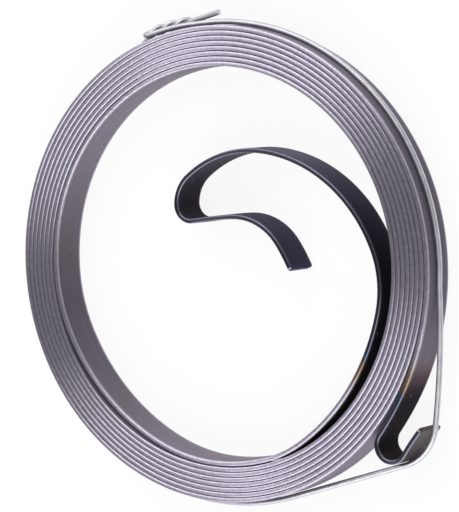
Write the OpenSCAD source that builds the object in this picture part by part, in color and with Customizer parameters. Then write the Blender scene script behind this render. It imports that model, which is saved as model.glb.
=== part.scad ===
// Recoil starter spring: a flat steel strip wound into a tight pack, hooked at both ends and
// held by a twisted tie wire. Lies flat, with the pack's axis on Z and the strip's lower edge at z = 0.
// Directions are degrees anticlockwise from +X, seen from above. The strip winds outwards clockwise,
// so a direction that counts on past 360 lies one turn further in.

/* [Strip] */
// Thickness of the steel strip
strip_t = 0.78; // [0.5:0.02:1]
// Width of the strip, which is the height of the pack
strip_w = 7; // [5:0.25:10]
// Chamfer that breaks the strip's edges
edge_c = 0.2; // [0.1:0.01:0.24]

/* [Pack] */
// Outside diameter of the wound pack
pack_d = 80; // [72:1:95]
// Turns in the pack
turns = 8; // [6:1:10]
// Clearance between neighbouring turns
turn_gap = 0.08; // [0.05:0.01:0.12]
// Direction where each turn starts to step in under the one outside it
step_from = 280; // [275:1:285]
// Angle over which a turn makes that step
step_span = 80; // [70:1:85]

/* [Loose inner turn] */
// Direction where the innermost turn starts to come off the pack
ease_from = 90; // [70:1:100]
// Angle over which it comes off
ease_span = 60; // [50:1:70]
// How much wider its gap to the pack is from there on
ease_gap = 0.11; // [0.06:0.01:0.3]
// Direction where it bows in most
slack_at = 227; // [222:1:232]
// Angle from there to either end of the bow
slack_half = 42; // [36:1:44]
// How far the bow stands in
slack_in = 0.63; // [0.4:0.01:0.9]

/* [Inner tail] */
// Direction where the tail leaves the pack
leave_at = 286; // [282:1:290]
// How much tighter than the loose turn the strip is kinked there
kink_tighter = 11.3; // [10:0.1:14]
// Direction where the kink ends
kink_to = 305; // [303:0.5:308]
// How much wider than the loose turn the strip then runs
lead_wider = 2.9; // [1:0.1:4]
// Direction where that run ends
lead_to = 349; // [345:0.5:352]
// How much tighter the shoulder is bent
shoulder_tighter = 16.3; // [14:0.1:18]
// Direction where the shoulder ends
shoulder_to = 383.5; // [380:0.5:388]
// How much tighter the arch over the middle is bent
arch_tighter = 7.9; // [6:0.1:10]
// Direction where the arch ends
arch_to = 444.5; // [440:0.5:450]
// How much tighter the crown past the arch is bent
crown_tighter = 13.7; // [12:0.1:16]
// Direction where the crown ends
crown_to = 490.5; // [485:0.5:495]
// Bend radius of the crook before the eye
crook_r = 6.2; // [5:0.1:8]
// Direction where the crook ends
crook_to = 539; // [530:0.5:545]
// Bend radius of the eye
eye_r = 2.8; // [2:0.1:4]
// Direction where the eye ends
eye_to = 640; // [635:0.5:645]
// Bend radius of the nearly straight leg behind the eye
leg_r = 81; // [60:1:100]
// Direction where the leg ends
leg_to = 634.5; // [632:0.5:636]
// Bend radius of the reverse curl
curl_r = 10.1; // [8:0.1:12]
// Direction where the curl ends
curl_to = 575.5; // [570:0.5:580]
// Bend radius of the tip
tip_r = 33; // [20:1:50]
// Direction where the tip is cut off
tip_to = 567; // [565:0.5:569]

/* [Outer hook] */
// Direction where the outermost turn starts to leave the pack
hook_from = 6; // [4:1:10]
// How much wider than the pack it runs from there
rise_wider = 3.2; // [2.5:0.1:5]
// Direction where that run ends
rise_to = -26; // [-28:0.5:-22]
// How much wider than the pack the run into the hook is
run_wider = 13.8; // [10:0.2:20]
// Direction where the hook's bend starts
run_to = -35; // [-38:0.5:-32]
// Bend radius of the hook
hook_r = 2.68; // [2:0.02:4]
// Direction where the hook's bend ends
hook_to = 149; // [145:0.5:155]
// Bend radius of the flared hook leg
flare_r = 39; // [30:1:60]
// Direction where the hook leg is cut off
flare_to = 141; // [139:0.5:143]

/* [Tie wire] */
// Diameter of the wire
wire_d = 0.95; // [0.7:0.05:1.1]
// Clearance between the wire and what it lies on
wire_gap = 0.08; // [0.07:0.01:0.15]
// Height of the wire over the middle of the strip, where it folds back into the twist
fold_up = 0.9; // [0.5:0.1:1.2]
// The same where it leaves the pack for the hook
leave_up = 0.7; // [0.2:0.1:1]
// The same where it crosses the hook
hook_up = -0.1; // [-0.6:0.1:0.4]
// The same where it comes round to the twist
lap_up = -1.9; // [-2.2:0.1:-1.8]
// How far the wire bows outwards between the pack and the hook
run_bow = 0.45; // [0:0.05:0.8]
// Bend radius of the wire round the hook
wire_bend_r = 8; // [7.5:0.1:9]
// Direction from the corner of the hook's tip to the centre of that bend
wire_bend_at = 170.3; // [168:0.1:172]

/* [Twist] */
// Direction where the wire folds back into the twist
fold_at = 112; // [108:0.5:116]
// Clearance of each strand from the middle of the twist
twist_gap = 0.1; // [0.07:0.01:0.2]
// Height of the fold, from the standing wire to the middle of the twist
fold_h = 2.15; // [2:0.05:2.4]
// How far the wire stands off the pack at the fold
fold_off = 0.65; // [0.4:0.05:0.8]
// How far the fold reaches past that direction
fold_reach = 0.95; // [0.8:0.05:1.4]
// How far the fold bulges outwards
fold_bulge = 0.25; // [0:0.05:0.5]
// Length of one full twist
twist_pitch = 5.2; // [5:0.1:7]
// Half turns in the twist, an odd number
half_turns = 3; // [1:2:5]
// Angle by which the hidden strand runs on past the twist
strand_more = 1.4; // [0:0.1:1.6]
// Length of the cut end that stands out past the twist
cut_end = 6.4; // [3:0.1:9]
// Angle at which the cut end stands away from the pack
cut_slope = 4; // [3:1:12]
// How steeply the cut end rises
cut_rise = 0.1; // [0:0.05:0.4]

/* [Hidden] */
$fn = 180;

// Sides of the wire
wire_sides = 10;
// Angle between rings of the wire on the pack, and rings in its short bends
ring_angle = 4;
bend_rings = 8;
// Angles over which the wire comes up to the twist and comes off the pack before the fold
lap_angle = 8;
off_angle = 14;

pitch = strip_t + turn_gap;
outer_r = pack_d / 2 - strip_t / 2;
inner_r = outer_r - (turns - 1) * pitch;
loose_r = inner_r - ease_gap;
step_to = step_from + step_span;

wire_r = pack_d / 2 + wire_gap + wire_d / 2;
fold_z = strip_w / 2 + fold_up;
leave_z = strip_w / 2 + leave_up;
hook_z = strip_w / 2 + hook_up;
lap_z = strip_w / 2 + lap_up;

function toward(a) = [cos(a), sin(a)];
function unit(v) = v / norm(v);

// A bend is [centre, radius, direction at its start, direction at its end]. The direction is that of
// the strip's outer face, and a radius below zero bends the strip the other way.
function bend_centre(b) = b[0];
function bend_radius(b) = b[1];
function bend_end(b) = b[0] + b[1] * toward(b[3]);
// The bend that goes on from another one without a corner
function next_bend(b, radius, to) = [bend_end(b) - radius * toward(b[3]), radius, b[3], to];
// A chain of bends that goes on from another bend, given as [radius, direction at the end]
function bend_chain(b, steps, i = 0) =
    i == len(steps) ? [] :
    let (n = next_bend(b, steps[i][0], steps[i][1]))
    concat([n], bend_chain(n, steps, i + 1));

// How far two bends of a smooth sidestep depart from the turns that they join
function sidestep(size, span) = size / (2 * (1 - cos(span / 2)));
// Two bends that take a turn of the given radius inwards by size
function step_in(radius, size, from, span) = [
    [radius - sidestep(size, span), from + span / 2],
    [radius - size + sidestep(size, span), from + span]
];
// Four bends that bow a turn inwards and bring it back to its own circle
function bow_tighter(size, half) = size / (sin(half) * (tan(half / 2) - tan(half / 4)));
function bow_wider(size, half) = bow_tighter(size, half) * (sin(half) / sin(half / 2) - 1);
function bow_in(radius, size, at, half) = [
    [radius, at - half],
    [radius - bow_tighter(size, half), at - half / 2],
    [radius + bow_wider(size, half), at + half / 2],
    [radius - bow_tighter(size, half), at + half]
];

// The pack: each turn is a circle that steps in under the one outside it
function turn_r(k) = outer_r - k * pitch;
function turn_start(k) =
    let (at = k == 0 ? hook_from : step_to - 360)
    [[0, 0], turn_r(k), at, at];
pack_bends = [
    for (k = [0:turns - 1])
    each bend_chain(turn_start(k), k == turns - 1 ? [[turn_r(k), ease_from]] : concat(
        [[turn_r(k), step_from]],
        step_in(turn_r(k), pitch, step_from, step_span)
    ))
];

// The innermost turn comes loose, bows in, leaves the pack and ends in the formed tail
tail_bends = bend_chain([[0, 0], inner_r, ease_from, ease_from], concat(
    step_in(inner_r, ease_gap, ease_from, ease_span),
    bow_in(loose_r, slack_in, slack_at, slack_half),
    [
        [loose_r, leave_at],
        [loose_r - kink_tighter, kink_to],
        [loose_r + lead_wider, lead_to],
        [loose_r - shoulder_tighter, shoulder_to],
        [loose_r - arch_tighter, arch_to],
        [loose_r - crown_tighter, crown_to],
        [crook_r, crook_to],
        [eye_r, eye_to],
        [-leg_r, leg_to],
        [-curl_r, curl_to],
        [-tip_r, tip_to]
    ]
));

// The outermost turn rises off the pack and is bent back into the hook
hook_bends = bend_chain([[0, 0], outer_r, hook_from, hook_from], [
    [outer_r + rise_wider, rise_to],
    [outer_r + run_wider, run_to],
    [-hook_r, hook_to],
    [flare_r, flare_to]
]);
hook_leg = hook_bends[len(hook_bends) - 1];

// Shifts in a coarse, a fine and a last step, so that bends meet face to face without rounding
fine = 1e5;
module shift(p) {
    coarse_p = [for (v = p) round(v)];
    fine_p = [for (v = p - coarse_p) round(v * fine) / fine];
    translate(coarse_p)
        translate(fine_p)
            translate(p - coarse_p - fine_p)
                children();
}

// Section of the strip about its middle line, with broken edges
module strip_section() {
    x = strip_t / 2;
    y = strip_w / 2;
    c = edge_c;
    polygon([
        [x, y - c], [x - c, y], [c - x, y], [-x, y - c],
        [-x, c - y], [c - x, -y], [x - c, -y], [x, c - y]
    ]);
}

module strip_bend(b) {
    flip = bend_radius(b) < 0 ? 180 : 0;
    from = min(b[2], b[3]);
    shift([bend_centre(b)[0], bend_centre(b)[1], 0])
        rotate_extrude(angle = abs(b[3] - b[2]), start = (from + flip) % 360)
            shift([abs(bend_radius(b)), strip_w / 2])
                strip_section();
}

module spring_strip() {
    color("#8f8c98")
        for (b = concat(hook_bends, pack_bends, tail_bends))
            strip_bend(b);
}

// The wire runs round the pack and the hook's leg like a belt round two pulleys
leg_tip = bend_end(hook_leg) - strip_t / 2 * toward(flare_to);
pulley_p = leg_tip + (wire_bend_r - wire_gap - wire_d / 2) * toward(wire_bend_at);
pulley_at = atan2(pulley_p[1], pulley_p[0]);
belt_open = acos((wire_r - wire_bend_r) / norm(pulley_p));
belt_on = pulley_at + belt_open;
belt_off = pulley_at - belt_open;

// Where the twist lies, beside the standing wire, and where the wire comes round to it
fold_r = wire_r + fold_off;
twist_r = wire_d / 2 + twist_gap;
twist_at_r = fold_r + twist_r;
twist_z = fold_z - fold_h;
twist_turn = twist_pitch / twist_at_r * 180 / PI;
twist_end = fold_at - half_turns * twist_turn / 2;
strand_end = twist_end - strand_more;
lap_from = fold_at - 360 + lap_angle;

// Directions spread evenly between two, and the number of rings that a run on the pack takes
function spread(from, to, n) = [for (i = [0:n]) from + (to - from) * i / n];
function rings(from, to) = ceil(abs(to - from) / ring_angle);
// Height of the wire on its way round
function wire_z(a) = lookup(a, [
    [lap_from, lap_z],
    [belt_off, hook_z],
    [belt_on, leave_z],
    [fold_at, fold_z]
]);
// Its distance from the axis, which grows towards the fold
function wire_out(a) = lookup(a, [[fold_at - off_angle, wire_r], [fold_at, fold_r]]);
function on_pack(a) = [wire_out(a) * cos(a), wire_out(a) * sin(a), wire_z(a)];
function on_hook(a) = [pulley_p[0] + wire_bend_r * cos(a), pulley_p[1] + wire_bend_r * sin(a), hook_z];
// It bows a little from the pack to the hook
function run(t) =
    let (from = on_pack(belt_on), to = on_hook(belt_on))
    from + (to - from) * t + 4 * run_bow * t * (1 - t) * [cos(belt_on), sin(belt_on), 0];
// It comes out to the lower side of the twist at the end of its round
function lap(a) =
    let (
        share = (lap_from - a) / lap_angle,
        ease = share * share * (3 - 2 * share),
        r = wire_r + (twist_at_r - wire_r) * ease
    )
    [r * cos(a), r * sin(a), lap_z + (twist_z - twist_r - lap_z) * ease];
// A strand of the twist at direction a, starting at 90 above and at -90 below the twist's middle
function strand(a, side) =
    let (
        roll = side - 360 * (fold_at - a) / twist_turn,
        r = wire_out(a) + twist_r * (1 + cos(roll))
    )
    [r * cos(a), r * sin(a), twist_z + twist_r * sin(roll)];
// The fold from the upper side of the twist back to the standing wire
function fold(t) =
    let (
        share = (1 - cos(t)) / 2,
        r = fold_r + twist_r * (1 - share) + fold_bulge * sin(t),
        a = fold_at + fold_reach * sin(t) / twist_at_r * 180 / PI
    )
    [r * cos(a), r * sin(a), fold_z - (fold_h - twist_r) * (1 - share)];
// The cut end stands straight out past the twist
cut_from = strand(twist_end, -90);
cut_way = [sin(twist_end + cut_slope), -cos(twist_end + cut_slope), cut_rise];

wire_path = concat(
    [for (a = spread(strand_end, fold_at, 2 * bend_rings)) strand(a, 90)],
    [for (i = [1:bend_rings - 1]) fold(180 * i / bend_rings)],
    [for (a = spread(fold_at, belt_on, rings(fold_at, belt_on))) on_pack(a)],
    [for (i = [1:bend_rings - 1]) run(i / bend_rings)],
    [for (a = spread(belt_on, belt_off, bend_rings)) on_hook(a)],
    [for (a = spread(belt_off, lap_from, rings(belt_off, lap_from))) on_pack(a)],
    [for (a = spread(lap_from, fold_at - 360, bend_rings)) if (a < lap_from) lap(a)],
    [for (a = spread(fold_at, twist_end, 2 * bend_rings)) if (a < fold_at) strand(a, -90)],
    [cut_from + cut_end * cut_way]
);

// A round bar swept along a path, with its rings set square to it
module round_bar(path, diameter, sides) {
    last = len(path) - 1;
    ring_points = [
        for (i = [0:last])
        let (
            along = unit(path[min(i + 1, last)] - path[max(i - 1, 0)]),
            out = unit([path[i][0], path[i][1], 0]),
            across = unit(out - (out * along) * along),
            up = cross(along, across)
        )
        for (s = [0:sides - 1])
        path[i] + diameter / 2 * (cos(360 * s / sides) * across + sin(360 * s / sides) * up)
    ];
    walls = [
        for (i = [0:last - 1])
        for (s = [0:sides - 1])
        let (a = i * sides + s, b = i * sides + (s + 1) % sides)
        each [[a, b + sides, b], [a, a + sides, b + sides]]
    ];
    start_cap = [for (s = [0:sides - 1]) s];
    end_cap = [for (s = [0:sides - 1]) (last + 1) * sides - 1 - s];
    polyhedron(ring_points, concat(walls, [start_cap, end_cap]));
}

module tie_wire() {
    color("#d9dbe4")
        round_bar(wire_path, wire_d, wire_sides);
}

spring_strip();
tie_wire();
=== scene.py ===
import math

import bmesh
import bpy
from mathutils import Matrix, Vector


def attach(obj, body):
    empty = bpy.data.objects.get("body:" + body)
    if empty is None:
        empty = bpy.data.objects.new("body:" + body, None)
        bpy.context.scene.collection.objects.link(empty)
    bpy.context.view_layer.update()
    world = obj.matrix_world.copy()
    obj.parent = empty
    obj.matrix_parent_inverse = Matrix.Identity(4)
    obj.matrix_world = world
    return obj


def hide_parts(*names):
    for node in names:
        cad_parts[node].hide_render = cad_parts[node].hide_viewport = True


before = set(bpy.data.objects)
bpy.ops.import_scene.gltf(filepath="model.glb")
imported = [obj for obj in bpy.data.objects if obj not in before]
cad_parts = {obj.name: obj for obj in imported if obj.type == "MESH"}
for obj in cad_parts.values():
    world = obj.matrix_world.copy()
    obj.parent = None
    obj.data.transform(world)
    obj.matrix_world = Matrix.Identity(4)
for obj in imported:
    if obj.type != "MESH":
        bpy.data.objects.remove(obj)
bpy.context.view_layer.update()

MM = 0.001

# The strip and its pack, in millimetres and degrees, as the solids have them. Directions are from the
# pack's axis, anticlockwise from +X.
STRIP_T = 0.78
STRIP_W = 7.0
PACK_D = 80.0
TURNS = 8
TURN_GAP = 0.08
PITCH = STRIP_T + TURN_GAP
STEP_FROM = 280  # where each turn starts to step in under the one outside it
STEP_SPAN = 80  # angle that the step takes
OUTER_R = PACK_D / 2 - STRIP_T / 2
INNER_R = OUTER_R - (TURNS - 1) * PITCH

# Rounding along the strip's edges and at the corners of its two ends. The solids have a chamfer and
# square ends there.
EDGE_ROUND = 0.25
END_ROUND = 0.6

# The loose inner turn and the formed tail: [difference from the loose turn, direction at the end],
# then plain bend radii, below zero where the strip bends the other way.
EASE_FROM = 90  # where the innermost turn starts to come off the pack
EASE_SPAN = 60  # angle that this takes
EASE_GAP = 0.11  # how far off it comes
SLACK_AT = 227  # where it bows in most
SLACK_HALF = 42  # angle from there to either end of the bow
SLACK_IN = 0.63  # how far it bows in
LOOSE_R = INNER_R - EASE_GAP
TAIL_ON_TURN = [(0, 286), (-11.3, 305), (2.9, 349), (-16.3, 383.5), (-7.9, 444.5), (-13.7, 490.5)]
TAIL_FORMED = [(6.2, 539), (2.8, 640), (-81, 634.5), (-10.1, 575.5), (-33, 567)]

# The outer hook, in the same way: [difference from the outer turn, direction], then plain bend radii.
HOOK_FROM = 6  # where the strip leaves the pack
HOOK_ON_PACK = [(3.2, -26), (13.8, -35)]
HOOK_FORMED = [(-2.68, 149), (39, 141)]

# The tie wire. Heights and radii are those of its middle line.
WIRE_D = 0.95
WIRE_GAP = 0.08  # to the strip
WIRE_R = PACK_D / 2 + WIRE_GAP + WIRE_D / 2
FOLD_Z = STRIP_W / 2 + 0.9  # height at the fold
LEAVE_Z = STRIP_W / 2 + 0.7  # height where it leaves the pack
HOOK_Z = STRIP_W / 2 - 0.1  # height at the hook
LAP_Z = STRIP_W / 2 - 1.9  # height where it comes back under its start
RUN_BOW = 0.45  # how far the run to the hook bows out
WIRE_BEND_R = 8.0  # bend round the hook's tip
WIRE_BEND_AT = 170.3  # direction from the tip to the bend's centre
OFF_ANGLE = 14  # angle over which it comes off the pack to the fold

# The wire's fold and twist.
FOLD_AT = 112
FOLD_H = 2.15  # from the twist's middle up to the wire that lies on the pack
FOLD_R = WIRE_R + 0.65
FOLD_REACH = 0.95  # how far the fold reaches past its direction
FOLD_BULGE = 0.25  # how far it bulges outwards
TWIST_R = WIRE_D / 2 + 0.1  # from the twist's middle to a strand's
TWIST_PITCH = 5.2
HALF_TURNS = 3
STRAND_MORE = 1.4  # angle by which the hidden strand goes on past the twist
LAP_ANGLE = 8  # angle over which the other end rises into the twist
CUT_END = 6.4  # length of the free end
CUT_SLOPE = 4  # its angle away from the pack
CUT_RISE = 0.1  # its rise for each millimetre

# Fineness of the meshes: the longest steps along a path, the most that the strip turns in one, and the
# points on a rounded edge, round the wire and along its fold.
STRIP_STEP = 1.2
STRIP_TURN = 5
END_STEP = 0.06  # on the first and last bend, for their rounded corners
WIRE_STEP = 0.45
EDGE_POINTS = 5
WIRE_SIDES = 20
FOLD_STEPS = 12
SAME_POINT = 1e-4  # points of a path that lie closer than this are one


def toward(a):
    """The unit vector in a direction given in degrees."""
    return Vector((math.cos(math.radians(a)), math.sin(math.radians(a))))


# A bend is (centre, radius, direction at its start, direction at its end).
def bends(start, steps):
    """Bends that go on from the start bend without a corner, given as (radius, direction at the end)."""
    made = []
    centre, radius, _, at = start
    for r, to in steps:
        centre = centre + (radius - r) * toward(at)
        made.append((centre, r, at, to))
        radius, at = r, to
    return made


def sidestep(radius, size, start, span):
    """Two bends that take a turn inwards by size."""
    off = size / (2 * (1 - math.cos(math.radians(span / 2))))
    return [(radius - off, start + span / 2), (radius - size + off, start + span)]


def bow(radius, size, at, half):
    """Four bends that bow a turn inwards and bring it back to its own circle."""
    whole = math.radians(half)
    part = math.radians(half / 2)
    tighter = size / (math.sin(whole) * (math.tan(whole / 2) - math.tan(part / 2)))
    wider = tighter * (math.sin(whole) / math.sin(part) - 1)
    return [
        (radius, at - half),
        (radius - tighter, at - half / 2),
        (radius + wider, at + half / 2),
        (radius - tighter, at + half),
    ]


def hook_bends():
    """The outer hook's bends, from the pack to its tip."""
    return bends(
        (Vector((0, 0)), OUTER_R, HOOK_FROM, HOOK_FROM),
        [(OUTER_R + d, to) for d, to in HOOK_ON_PACK] + HOOK_FORMED,
    )


def strip_bends():
    """All the strip's bends, from the tip of the outer hook to the tip of the inner tail."""
    made = [(c, r, end, start) for c, r, start, end in reversed(hook_bends())]
    for k in range(TURNS):
        radius = OUTER_R - k * PITCH
        start = HOOK_FROM if k == 0 else STEP_FROM + STEP_SPAN - 360
        last = k == TURNS - 1
        steps = [(radius, EASE_FROM if last else STEP_FROM)]
        if not last:
            steps += sidestep(radius, PITCH, STEP_FROM, STEP_SPAN)
        made += bends((Vector((0, 0)), radius, start, start), steps)
    made += bends(
        (Vector((0, 0)), INNER_R, EASE_FROM, EASE_FROM),
        sidestep(INNER_R, EASE_GAP, EASE_FROM, EASE_SPAN)
        + bow(LOOSE_R, SLACK_IN, SLACK_AT, SLACK_HALF)
        + [(LOOSE_R + d, to) for d, to in TAIL_ON_TURN]
        + TAIL_FORMED,
    )
    return made


def strip_path():
    """Points on the strip's middle line, how far along it each lies, and its way there."""
    points = []
    along = []
    ways = []
    done = 0.0
    made = strip_bends()
    for number, (centre, radius, start, end) in enumerate(made, 1):
        length = abs(radius * math.radians(end - start))
        step = END_STEP if number in (1, len(made)) else STRIP_STEP
        count = max(2, math.ceil(length / step), math.ceil(abs(end - start) / STRIP_TURN))
        # Each bend ends where the next one starts, so only the last has a point at its end.
        for i in range(count + (number == len(made))):
            at = start + (end - start) * i / count
            p = centre + radius * toward(at)
            way = toward(at + 90)
            points.append((p.x, p.y, STRIP_W / 2))
            along.append(done + length * i / count)
            ways.append((way.x, way.y, 0.0))
        done += length
    return points, along, ways


def spread(start, end, step):
    """Values from start to end at about the given step."""
    count = max(1, math.ceil(abs(end - start) / step))
    return [start + (end - start) * i / count for i in range(count + 1)]


def polar(r, a, z):
    """A point at a radius, a direction and a height."""
    p = r * toward(a)
    return Vector((p.x, p.y, z))


def wire_path():
    """Points on the tie wire's middle line, from the strand that the twist hides to the cut end."""
    centre, radius, _, end = hook_bends()[-1]
    # The wire bends round the hook's tip as a belt does round a pulley.
    tip = centre + (radius - STRIP_T / 2) * toward(end)
    pulley = tip + (WIRE_BEND_R - WIRE_GAP - WIRE_D / 2) * toward(WIRE_BEND_AT)
    at = math.degrees(math.atan2(pulley.y, pulley.x))
    half = math.degrees(math.acos((WIRE_R - WIRE_BEND_R) / pulley.length))
    on = at + half
    off = at - half
    twist_r = FOLD_R + TWIST_R
    twist_z = FOLD_Z - FOLD_H
    twist_turn = math.degrees(TWIST_PITCH / twist_r)
    twist_end = FOLD_AT - HALF_TURNS * twist_turn / 2
    lap_from = FOLD_AT - 360 + LAP_ANGLE
    step = math.degrees(WIRE_STEP / WIRE_R)

    def slope(a, start, end, low, high):
        return low + (high - low) * (a - start) / (end - start)

    def out(a):
        return max(WIRE_R, slope(a, FOLD_AT - OFF_ANGLE, FOLD_AT, WIRE_R, FOLD_R))

    def strand(a, side):
        roll = math.radians(side - 360 * (FOLD_AT - a) / twist_turn)
        return polar(out(a) + TWIST_R * (1 + math.cos(roll)), a, twist_z + TWIST_R * math.sin(roll))

    def fold(t):
        share = (1 - math.cos(t)) / 2
        r = FOLD_R + TWIST_R * (1 - share) + FOLD_BULGE * math.sin(t)
        past = math.degrees(FOLD_REACH * math.sin(t) / twist_r)
        return polar(r, FOLD_AT + past, FOLD_Z - (FOLD_H - TWIST_R) * (1 - share))

    def lap(a):
        share = (lap_from - a) / LAP_ANGLE
        ease = share * share * (3 - 2 * share)
        z = LAP_Z + (twist_z - TWIST_R - LAP_Z) * ease
        return polar(WIRE_R + (twist_r - WIRE_R) * ease, a, z)

    def run(p, q, bow):
        steps = spread(0, 1, WIRE_STEP / (q - p).length)
        return [p.lerp(q, t) + polar(4 * bow * t * (1 - t), on, 0) for t in steps]

    def standing(a):
        return polar(out(a), a, slope(a, FOLD_AT, on, FOLD_Z, LEAVE_Z))

    def returning(a):
        return polar(WIRE_R, a, slope(a, off, lap_from, HOOK_Z, LAP_Z))

    upper = [standing(a) for a in spread(FOLD_AT, on, step)]
    bend_step = math.degrees(WIRE_STEP / WIRE_BEND_R)
    bend_centre = Vector((pulley.x, pulley.y, HOOK_Z))
    bend = [bend_centre + polar(WIRE_BEND_R, a, 0) for a in spread(on, off, bend_step)]
    lower = [returning(a) for a in spread(off, lap_from, step)]
    ends = strand(twist_end, -90)
    way = Vector((*toward(twist_end + CUT_SLOPE - 90), CUT_RISE))
    runs = [
        [strand(a, 90) for a in spread(twist_end - STRAND_MORE, FOLD_AT, step / 2)],
        [fold(t) for t in spread(0, math.pi, math.pi / FOLD_STEPS)],
        upper,
        run(upper[-1], bend[0], RUN_BOW),
        bend,
        run(bend[-1], lower[0], 0),
        lower,
        [lap(a) for a in spread(lap_from, FOLD_AT - 360, step)],
        [strand(a, -90) for a in spread(FOLD_AT, twist_end, step / 2)],
        [ends + way * t for t in spread(0, CUT_END, WIRE_STEP)],
    ]
    points = []
    for part in runs:
        points += [p for p in part if not points or (p - points[-1]).length > SAME_POINT]
    return points


def linear(hex_colour):
    """An sRGB hex colour as linear RGBA."""
    parts = [int(hex_colour[i : i + 2], 16) / 255 for i in (1, 3, 5)]
    return [c / 12.92 if c <= 0.04045 else ((c + 0.055) / 1.055) ** 2.4 for c in parts] + [1.0]


def add(tree, kind, links=None, **settings):
    """Adds a node with its settings, and gives each named input a value or another node's output."""
    node = tree.nodes.new(kind)
    for name, value in settings.items():
        setattr(node, name, value)
    for key, value in (links or {}).items():
        if isinstance(value, bpy.types.NodeSocket):
            tree.links.new(value, node.inputs[key])
        else:
            node.inputs[key].default_value = value
    return node


def new_finish(name):
    """A new material and its empty node tree."""
    material = bpy.data.materials.new(name)
    material.use_nodes = True
    material.node_tree.nodes.clear()
    return material, material.node_tree


def ramp_of(tree, factor, stops):
    """A colour ramp on the factor, with stops of (position, hex colour)."""
    node = add(tree, "ShaderNodeValToRGB", {"Fac": factor})
    bar = node.color_ramp
    while len(bar.elements) > 1:
        bar.elements.remove(bar.elements[-1])
    bar.elements[0].position = stops[0][0]
    bar.elements[0].color = linear(stops[0][1])
    for position, colour in stops[1:]:
        bar.elements.new(position).color = linear(colour)
    return node.outputs["Color"]


# Sizes in the strip's finish, in millimetres.
RIM_AND_SHEEN = 0.7  # how far below an edge its brighter finish starts: partly the dressed edge, partly a painted highlight along the top of the face
LINE_APART = 0.25
LINE_LONG = 30
CLOUD_SIZE = 9
SPECK_APART = 1.4
GRAIN_SIZE = 0.7

# Heat marks on the strip, in millimetres. On its edges the temper colours lie from HEAT_FROM to HEAT_TO
# from the hook's tip, and TAIL_HEAT further from the tail's tip. Plain steel comes in from PLAIN_FROM to
# PLAIN_TO. On the tail's faces all this lies TAIL_SHADE_REACH further on, and that extra length is
# painted shade: it darkens the faces in the deep gap between the loose turn and the pack. The border
# wavers by HEAT_WAVER.
HEAT_FROM = 16.0
HEAT_TO = 32.0
PLAIN_FROM = 25.6
PLAIN_TO = 31.2
TAIL_HEAT = 73.0
TAIL_SHADE_REACH = 18.0
HEAT_WAVER = 3.0

# Colours of the heated faces, by the share of the way from the tip to the plain steel. The tail's cut end
# has a narrow paler band.
HOOK_FACE = [
    (0.0, "#6a6364"),
    (0.12, "#565154"),
    (0.22, "#302c30"),
    (0.5, "#2b272b"),
    (0.65, "#2a252a"),
    (0.71, "#382f36"),
    (0.78, "#57494f"),
    (0.88, "#766b70"),
]
TAIL_FACE = [
    (0.0, "#5d5b7c"),
    (0.005, "#5d5b7c"),
    (0.007, "#4b485d"),
    (0.17, "#3c3944"),
    (0.26, "#3a363f"),
    (0.43, "#5c5969"),
    (0.53, "#3f3d4f"),
    (0.64, "#2a2833"),
    (0.75, "#1c191d"),
    (0.91, "#1e1a1c"),
    (0.94, "#4b4249"),
    (0.97, "#6a6065"),
]

# Colours of the heated edges, by the share of the way from HEAT_FROM to HEAT_TO: on an edge's flat, and
# on its corners, which are painted brighter as a painted highlight.
EDGE_FLAT = [
    (0.0, "#4c4a5a"),
    (0.3, "#3f4356"),
    (0.36, "#46566e"),
    (0.43, "#6f5f59"),
    (0.55, "#917b69"),
    (0.75, "#9e9696"),
]
# Painted highlight: the corner colours are lighter than the flat's to stand in for the bright lines that
# light makes on the corners.
EDGE_CORNER_HIGHLIGHT = [
    (0.0, "#8f8d9b"),
    (0.3, "#80879c"),
    (0.36, "#66809f"),
    (0.43, "#94796a"),
    (0.55, "#a58f7d"),
    (0.75, "#a8a1a3"),
]


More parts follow.
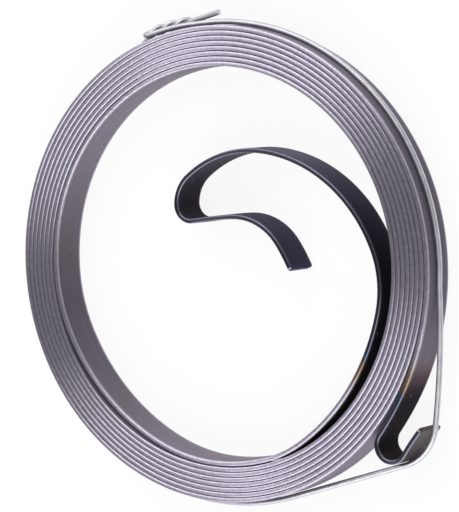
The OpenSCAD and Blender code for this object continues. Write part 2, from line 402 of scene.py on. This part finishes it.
def spring_steel(length):
    """Rolled and tempered spring steel strip with dressed edges: faces of a cool violet-grey with fine
    rolling lines, brighter edges, and ends that were heated for bending and went blue-black. On the
    tail's faces the blue-black runs on further as painted shade in the gap beside the pack."""
    material, tree = new_finish("rolled_spring_steel_blued_ends")
    place = add(tree, "ShaderNodeTexCoord").outputs["Object"]
    height = add(tree, "ShaderNodeSeparateXYZ", {"Vector": place}).outputs["Z"]
    along = add(tree, "ShaderNodeAttribute", attribute_name="along").outputs["Fac"]
    lengthwise = add(tree, "ShaderNodeAttribute", attribute_name="lengthwise").outputs["Vector"]
    high_mm = add(tree, "ShaderNodeMath", {0: height, 1: 1 / MM}, operation="MULTIPLY").outputs[0]

    # Rolling lines run along the strip. Real ones are finer, and these are coarse enough to show.
    lines_at = add(tree, "ShaderNodeCombineXYZ", {"X": along, "Y": high_mm}).outputs["Vector"]
    stretched = add(
        tree, "ShaderNodeMapping", {"Vector": lines_at, "Scale": (1 / LINE_LONG, 1 / LINE_APART, 1)}
    ).outputs["Vector"]
    lines = add(
        tree, "ShaderNodeTexNoise", {"Vector": stretched, "Scale": 1.0, "Detail": 4.0, "Roughness": 0.6}
    ).outputs["Fac"]
    # Oil and handling leave soft clouds.
    cloud = add(
        tree, "ShaderNodeTexNoise", {"Vector": place, "Scale": 1 / (CLOUD_SIZE * MM), "Detail": 3.0}
    ).outputs["Fac"]

    # How far a place is from the middle of the strip's width.
    middle = add(tree, "ShaderNodeMath", {0: high_mm, 1: STRIP_W / 2}, operation="SUBTRACT").outputs[0]
    beside = add(tree, "ShaderNodeMath", {0: middle}, operation="ABSOLUTE").outputs[0]

    # The heat marks lie at a set distance from each end and have an uneven border.
    from_tail = add(tree, "ShaderNodeMath", {0: length - TAIL_HEAT, 1: along}, operation="SUBTRACT")
    nearest = add(
        tree, "ShaderNodeMath", {0: along, 1: from_tail.outputs[0]}, operation="MINIMUM"
    ).outputs[0]
    waver = add(
        tree,
        "ShaderNodeMath",
        {0: cloud, 1: HEAT_WAVER, 2: -HEAT_WAVER / 2},
        operation="MULTIPLY_ADD",
    ).outputs[0]
    border = add(tree, "ShaderNodeMath", {0: nearest, 1: waver}, operation="ADD").outputs[0]
    heat = add(
        tree, "ShaderNodeMapRange", {"Value": border, "From Min": HEAT_FROM, "From Max": HEAT_TO}
    ).outputs["Result"]
    at_tail = add(
        tree, "ShaderNodeMath", {0: along, 1: length / 2}, operation="GREATER_THAN"
    ).outputs[0]
    # On the tail's faces the dark heat colours reach further: painted shade in the deep gap between the
    # loose turn and the pack.
    face_border_and_shade = add(
        tree, "ShaderNodeMath", {0: at_tail, 1: -TAIL_SHADE_REACH, 2: border}, operation="MULTIPLY_ADD"
    ).outputs[0]
    hook_share = add(
        tree, "ShaderNodeMapRange", {"Value": face_border_and_shade, "From Min": 0.0, "From Max": HEAT_TO}
    ).outputs["Result"]
    tail_share = add(
        tree,
        "ShaderNodeMapRange",
        {"Value": face_border_and_shade, "From Min": -TAIL_HEAT - TAIL_SHADE_REACH, "From Max": HEAT_TO},
    ).outputs["Result"]
    face_plain = add(
        tree,
        "ShaderNodeMapRange",
        {"Value": face_border_and_shade, "From Min": PLAIN_FROM, "From Max": PLAIN_TO},
    ).outputs["Result"]
    edge_plain = add(
        tree, "ShaderNodeMapRange", {"Value": border, "From Min": PLAIN_FROM, "From Max": PLAIN_TO}
    ).outputs["Result"]

    # The faces: plain steel with warmer stains, or the heated colours of either end.
    face_steel = ramp_of(tree, lines, [(0.25, "#78727f"), (0.5, "#817b88"), (0.75, "#8a8491")])
    hook_colour = ramp_of(tree, hook_share, HOOK_FACE)
    tail_colour = ramp_of(tree, tail_share, TAIL_FACE)
    face_heat = add(
        tree, "ShaderNodeMix", {"Factor": at_tail, "A": hook_colour, "B": tail_colour}, data_type="RGBA"
    ).outputs["Result"]
    stain = add(
        tree, "ShaderNodeMapRange", {"Value": cloud, "From Min": 0.45, "From Max": 0.75, "To Max": 0.5}
    ).outputs["Result"]
    stained = add(
        tree,
        "ShaderNodeMix",
        {"Factor": stain, "A": face_steel, "B": linear("#867e80")},
        data_type="RGBA",
    ).outputs["Result"]
    clean = add(
        tree, "ShaderNodeMix", {"Factor": face_plain, "A": face_heat, "B": stained}, data_type="RGBA"
    ).outputs["Result"]
    # Specks about 0.3 mm across, some of them faint: dark pits in the plain steel, pale dust on the
    # blued ends.
    spots = add(tree, "ShaderNodeTexVoronoi", {"Vector": place, "Scale": 1 / (SPECK_APART * MM)}).outputs
    strength = add(
        tree, "ShaderNodeMapRange", {"Value": spots["Color"], "From Min": 0.45, "From Max": 0.65}
    ).outputs["Result"]
    spot = add(
        tree,
        "ShaderNodeMapRange",
        {"Value": spots["Distance"], "From Min": 0.08, "From Max": 0.14, "To Min": 0.8, "To Max": 0.0},
    ).outputs["Result"]
    speck = add(tree, "ShaderNodeMath", {0: spot, 1: strength}, operation="MULTIPLY").outputs[0]
    speck_colour = ramp_of(tree, face_plain, [(0.0, "#85828b"), (1.0, "#443f47")])
    face = add(
        tree, "ShaderNodeMix", {"Factor": speck, "A": clean, "B": speck_colour}, data_type="RGBA"
    ).outputs["Result"]

    # The edges: dressing leaves them a little uneven in tone.
    grain = add(
        tree, "ShaderNodeTexNoise", {"Vector": place, "Scale": 1 / (GRAIN_SIZE * MM), "Detail": 3.0}
    ).outputs["Fac"]
    edge_steel = ramp_of(tree, grain, [(0.3, "#b6b0c0"), (0.7, "#ccc6d6")])
    edge_flat = ramp_of(tree, heat, EDGE_FLAT)
    edge_corner_highlight = ramp_of(tree, heat, EDGE_CORNER_HIGHLIGHT)
    # The corners of a heated edge are painted brighter than its flat: a painted highlight.
    rise = add(
        tree,
        "ShaderNodeMapRange",
        {"Value": beside, "From Min": STRIP_W / 2 - EDGE_ROUND, "From Max": STRIP_W / 2},
    ).outputs["Result"]
    corner_highlight_mask = ramp_of(
        tree, rise, [(0.05, "#000000"), (0.35, "#ffffff"), (0.75, "#ffffff"), (0.98, "#000000")]
    )
    edge_heat_and_highlight = add(
        tree, "ShaderNodeMix", {"Factor": corner_highlight_mask, "A": edge_flat, "B": edge_corner_highlight}, data_type="RGBA"
    ).outputs["Result"]
    edge = add(
        tree, "ShaderNodeMix", {"Factor": edge_plain, "A": edge_heat_and_highlight, "B": edge_steel}, data_type="RGBA"
    ).outputs["Result"]

    # The faces are dull, and the finish goes over to that of the edges within the rim. In colour this is
    # partly the dressed edge and partly a painted highlight that makes the top of each face lighter.
    rim_and_sheen = add(
        tree,
        "ShaderNodeMapRange",
        {"Value": beside, "From Min": STRIP_W / 2 - RIM_AND_SHEEN, "From Max": STRIP_W / 2 - EDGE_ROUND / 2},
    ).outputs["Result"]
    colour = add(
        tree, "ShaderNodeMix", {"Factor": rim_and_sheen, "A": face, "B": edge}, data_type="RGBA"
    ).outputs["Result"]
    dull = add(
        tree,
        "ShaderNodeMapRange",
        {"Value": cloud, "From Min": 0.3, "From Max": 0.7, "To Min": 0.66, "To Max": 0.76},
    ).outputs["Result"]
    rough = add(
        tree, "ShaderNodeMapRange", {"Value": rim_and_sheen, "To Min": dull, "To Max": 0.34}
    ).outputs["Result"]
    bump = add(
        tree, "ShaderNodeBump", {"Height": lines, "Strength": 0.12, "Distance": 0.02 * MM}
    ).outputs["Normal"]
    # Rolling lines spread a highlight across the strip, a quarter turn from the lines.
    shader = add(
        tree,
        "ShaderNodeBsdfPrincipled",
        {
            "Base Color": colour,
            "Metallic": 1.0,
            "Roughness": rough,
            "Anisotropic": 0.8,
            "Anisotropic Rotation": 0.25,
            "Normal": bump,
            "Tangent": lengthwise,
        },
    )
    add(tree, "ShaderNodeOutputMaterial", {"Surface": shader.outputs["BSDF"]})
    return material


SKIN_SIZE = 2.5  # patches in the wire's skin, in millimetres


def drawn_wire():
    """Bright drawn binding wire: nearly white where it catches the light, with a faintly uneven skin."""
    material, tree = new_finish("bright_drawn_steel_wire")
    place = add(tree, "ShaderNodeTexCoord").outputs["Object"]
    cloud = add(
        tree, "ShaderNodeTexNoise", {"Vector": place, "Scale": 1 / (SKIN_SIZE * MM), "Detail": 4.0}
    ).outputs["Fac"]
    colour = ramp_of(tree, cloud, [(0.3, "#c0bfc8"), (0.7, "#d6d5da")])
    rough = add(
        tree, "ShaderNodeMapRange", {"Value": cloud, "To Min": 0.4, "To Max": 0.52}
    ).outputs["Result"]
    bump = add(
        tree, "ShaderNodeBump", {"Height": cloud, "Strength": 0.05, "Distance": 0.02 * MM}
    ).outputs["Normal"]
    shader = add(
        tree,
        "ShaderNodeBsdfPrincipled",
        {"Base Color": colour, "Metallic": 1.0, "Roughness": rough, "Normal": bump},
    )
    add(tree, "ShaderNodeOutputMaterial", {"Surface": shader.outputs["BSDF"]})
    return material


def sweep_tree(name, sizes, outline):
    """A Geometry Nodes tree that draws an outline along a path and gives it a finish."""
    tree = bpy.data.node_groups.new(name, "GeometryNodeTree")
    tree.interface.new_socket("Path", in_out="INPUT", socket_type="NodeSocketGeometry")
    for size in sizes:
        tree.interface.new_socket(size, in_out="INPUT", socket_type="NodeSocketFloat")
    tree.interface.new_socket("Finish", in_out="INPUT", socket_type="NodeSocketMaterial")
    tree.interface.new_socket("Swept", in_out="OUTPUT", socket_type="NodeSocketGeometry")
    given = add(tree, "NodeGroupInput").outputs
    curve = add(tree, "GeometryNodeMeshToCurve", {"Mesh": given["Path"]}).outputs["Curve"]
    upright = add(tree, "GeometryNodeSetCurveNormal", {"Curve": curve}, mode="Z_UP").outputs["Curve"]
    swept = add(
        tree,
        "GeometryNodeCurveToMesh",
        {"Curve": upright, "Profile Curve": outline(tree, given), "Fill Caps": True},
    ).outputs["Mesh"]
    real = add(tree, "GeometryNodeRealizeInstances", {"Geometry": swept}).outputs["Geometry"]
    done = add(
        tree, "GeometryNodeSetMaterial", {"Geometry": real, "Material": given["Finish"]}
    ).outputs["Geometry"]
    add(tree, "NodeGroupOutput", {"Swept": done})
    return tree


def strip_outline(tree, given):
    """A flat strip's section with rounded edges."""
    flat = add(
        tree,
        "GeometryNodeCurvePrimitiveQuadrilateral",
        {"Width": given["Thickness"], "Height": given["Width"]},
    ).outputs["Curve"]
    return add(
        tree,
        "GeometryNodeFilletCurve",
        {"Curve": flat, "Radius": given["Edge radius"], "Count": EDGE_POINTS},
        mode="POLY",
    ).outputs["Curve"]


def wire_outline(tree, given):
    """A round section."""
    return add(
        tree, "GeometryNodeCurvePrimitiveCircle", {"Resolution": WIRE_SIDES, "Radius": given["Radius"]}
    ).outputs["Curve"]


def sweep(name, points, tree, values, along=None, ways=None):
    """A piece made by a sweep tree along points in millimetres, as a plain mesh at the origin."""
    line = bpy.data.meshes.new(name + "_path")
    line.from_pydata([Vector(p) * MM for p in points], [(i, i + 1) for i in range(len(points) - 1)], [])
    if along:
        line.attributes.new("along", "FLOAT", "POINT").data.foreach_set("value", along)
        flat = [v for way in ways for v in way]
        line.attributes.new("lengthwise", "FLOAT_VECTOR", "POINT").data.foreach_set("vector", flat)
    piece = bpy.data.objects.new(name, line)
    bpy.context.scene.collection.objects.link(piece)
    modifier = piece.modifiers.new("sweep", "NODES")
    modifier.node_group = tree
    for item in tree.interface.items_tree:
        if item.in_out == "INPUT" and item.name in values:
            modifier[item.identifier] = values[item.name]
    graph = bpy.context.evaluated_depsgraph_get()
    mesh = bpy.data.meshes.new_from_object(
        piece.evaluated_get(graph), preserve_all_data_layers=True, depsgraph=graph
    )
    piece.modifiers.remove(modifier)
    piece.data = mesh
    shape = bmesh.new()
    shape.from_mesh(mesh)
    bmesh.ops.remove_doubles(shape, verts=shape.verts, dist=1e-8)
    bmesh.ops.recalc_face_normals(shape, faces=shape.faces)
    if shape.calc_volume(signed=True) < 0:
        bmesh.ops.reverse_faces(shape, faces=shape.faces)
    # The sides are shaded smooth, and the two ends stay flat.
    for face in shape.faces:
        face.smooth = len(face.verts) == 4
    shape.to_mesh(mesh)
    shape.free()
    return piece


def round_corners(piece, length):
    """Rounds the corners at both ends of the strip, as seen on its flat."""
    middle = STRIP_W / 2 * MM
    along = piece.data.attributes["along"].data
    for vertex in piece.data.vertices:
        place = along[vertex.index].value
        from_end = min(place, length - place)
        if from_end < END_ROUND:
            inset = END_ROUND - math.sqrt(END_ROUND**2 - (END_ROUND - max(0, from_end)) ** 2)
            vertex.co.z = middle + (vertex.co.z - middle) * (1 - 2 * inset / STRIP_W)


strip_points, strip_along, strip_ways = strip_path()
strip = sweep(
    "spring_strip_rolled",
    strip_points,
    sweep_tree("strip_along_path", ["Thickness", "Width", "Edge radius"], strip_outline),
    {
        "Thickness": STRIP_T * MM,
        "Width": STRIP_W * MM,
        "Edge radius": EDGE_ROUND * MM,
        "Finish": spring_steel(strip_along[-1]),
    },
    strip_along,
    strip_ways,
)
round_corners(strip, strip_along[-1])
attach(strip, "root")
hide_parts("spring_strip")

wire = sweep(
    "tie_wire_drawn",
    wire_path(),
    sweep_tree("wire_along_path", ["Radius"], wire_outline),
    {"Radius": WIRE_D / 2 * MM, "Finish": drawn_wire()},
)
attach(wire, "root")
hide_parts("tie_wire")


# How much of the card's white is its own, where it is seen directly or in a reflection. The rest of it
# takes the object's shadow.
CARD_WHITE = 0.9


def floor_finish():
    """Smooth matt white card: an even white ground with a faint shadow on it."""
    material, tree = new_finish("matt_white_card")
    path = add(tree, "ShaderNodeLightPath").outputs
    seen = add(
        tree, "ShaderNodeMath", {0: path["Is Camera Ray"], 1: path["Is Glossy Ray"]}, operation="MAXIMUM"
    ).outputs[0]
    seen = add(
        tree, "ShaderNodeMath", {0: seen, 1: path["Is Transmission Ray"]}, operation="MAXIMUM"
    ).outputs[0]
    share = add(tree, "ShaderNodeMath", {0: seen, 1: CARD_WHITE}, operation="MULTIPLY").outputs[0]
    card = add(tree, "ShaderNodeBsdfDiffuse", {"Color": linear("#fafafa")}).outputs["BSDF"]
    white = add(tree, "ShaderNodeEmission", {"Strength": 1.0}).outputs["Emission"]
    mixed = add(tree, "ShaderNodeMixShader", {0: share, 1: card, 2: white}).outputs["Shader"]
    add(tree, "ShaderNodeOutputMaterial", {"Surface": mixed})
    return material


FLOOR_R = 3.0  # metres
FLOOR_SIDES = 96
floor_mesh = bpy.data.meshes.new("floor")
floor_shape = bmesh.new()
bmesh.ops.create_circle(floor_shape, cap_ends=True, segments=FLOOR_SIDES, radius=FLOOR_R)
floor_shape.to_mesh(floor_mesh)
floor_shape.free()
floor_mesh.materials.append(floor_finish())
floor = bpy.data.objects.new("floor", floor_mesh)
bpy.context.scene.collection.objects.link(floor)

scene = bpy.context.scene
scene.view_settings.view_transform = "Standard"

# An even dim room with two large soft boxes, one on either side of the pack.
ROOM_LIGHT = 0.23
LAMP_AWAY = 1.5  # metres
world = bpy.data.worlds.new("studio")
scene.world = world
world.use_nodes = True
sky = world.node_tree
sky.nodes.clear()
room = add(sky, "ShaderNodeBackground", {"Color": linear("#ffffff"), "Strength": ROOM_LIGHT}).outputs[0]
add(sky, "ShaderNodeOutputWorld", {"Surface": room})


def lamp(name, azimuth, elevation, size_x, size_y, brightness):
    """A rectangular soft lamp that faces the object: its direction in degrees and its size in metres.
    Its power goes with its area, so a larger one looks no brighter."""
    level = math.cos(math.radians(elevation))
    place = LAMP_AWAY * Vector((*(level * toward(azimuth)), math.sin(math.radians(elevation))))
    light = bpy.data.lights.new(name, "AREA")
    light.shape = "RECTANGLE"
    light.size = size_x
    light.size_y = size_y
    light.energy = brightness * math.pi * size_x * size_y
    item = bpy.data.objects.new(name, light)
    item.location = place
    item.rotation_euler = (-place).to_track_quat("-Z", "Y").to_euler()
    scene.collection.objects.link(item)


lamp("soft_box_far", azimuth=112, elevation=40, size_x=2.0, size_y=1.7, brightness=1.95)
lamp("soft_box_near", azimuth=282, elevation=40, size_x=2.6, size_y=1.7, brightness=2.0)

# The photograph's camera, found by fitting the outlines of the pack.
CAMERA_AT = Vector((250.8, 39.7, 396.3)) * MM
LOOKS_AT = Vector((-2.019, 0.939, 0.0)) * MM
FIELD_DEG = 10.519
camera = bpy.data.objects.new("camera", bpy.data.cameras.new("camera"))
camera.data.lens = camera.data.sensor_width / 2 / math.tan(math.radians(FIELD_DEG / 2))
forward = (LOOKS_AT - CAMERA_AT).normalized()
right = forward.cross(Vector((0, 1, 0))).normalized()
up = right.cross(forward)
camera.matrix_world = Matrix.Translation(CAMERA_AT) @ Matrix((right, up, -forward)).transposed().to_4x4()
camera.data.clip_start = 0.01
camera.data.clip_end = 20
scene.collection.objects.link(camera)
scene.camera = camera
